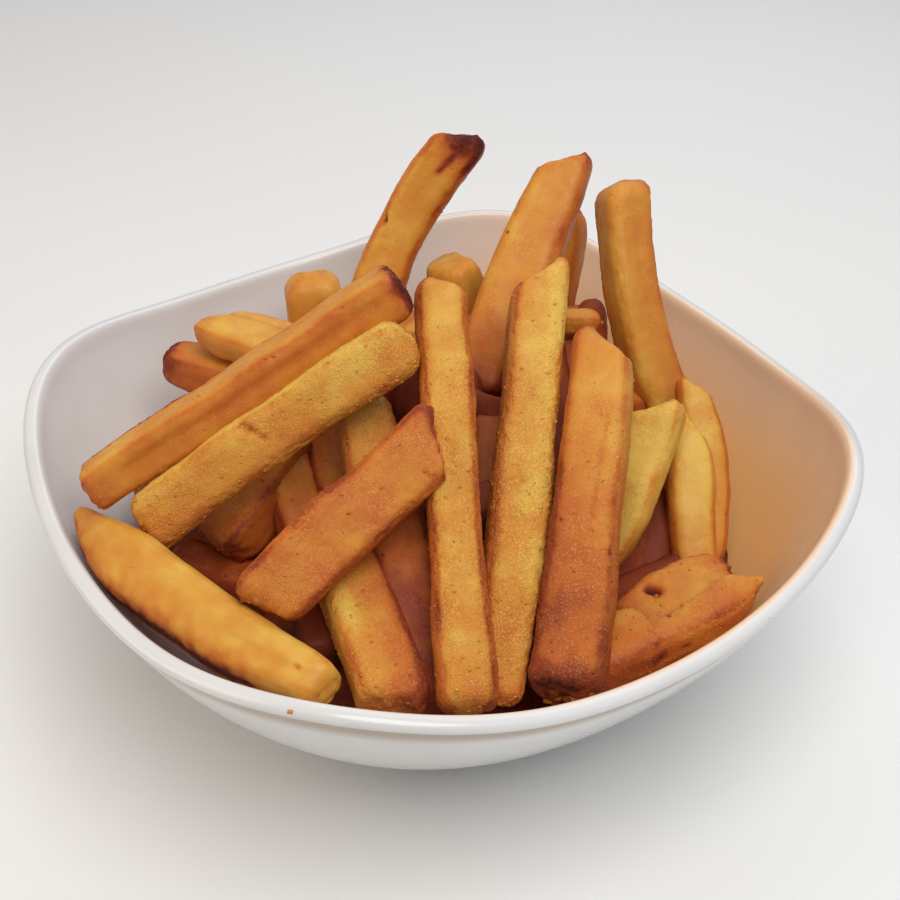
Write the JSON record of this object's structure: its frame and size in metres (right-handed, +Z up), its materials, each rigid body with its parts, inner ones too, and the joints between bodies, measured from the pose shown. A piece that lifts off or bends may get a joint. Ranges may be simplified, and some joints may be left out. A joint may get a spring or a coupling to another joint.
{
  "type": "french fries portion in a bowl",
  "caption": "Portion of thick-cut french fries heaped in a white glazed square bowl with a wavy rim and a foot ring.",
  "frame": {"origin": "under the middle of the bowl, on the surface it stands on", "axes": "+Z up; the bowl's flat sides face X and Y and its raised corners lie between them; most fries lean from the -X-Y corner towards +X+Y"},
  "size_m": [0.1516, 0.1516, 0.092],
  "materials": {
    "bowl_glaze": "gloss",
    "fried_potato": "satin"
  },
  "bodies": {
    "root": {"bowl": "bowl_glaze", "fries": "fried_potato"}
  },
  "joints": []
}
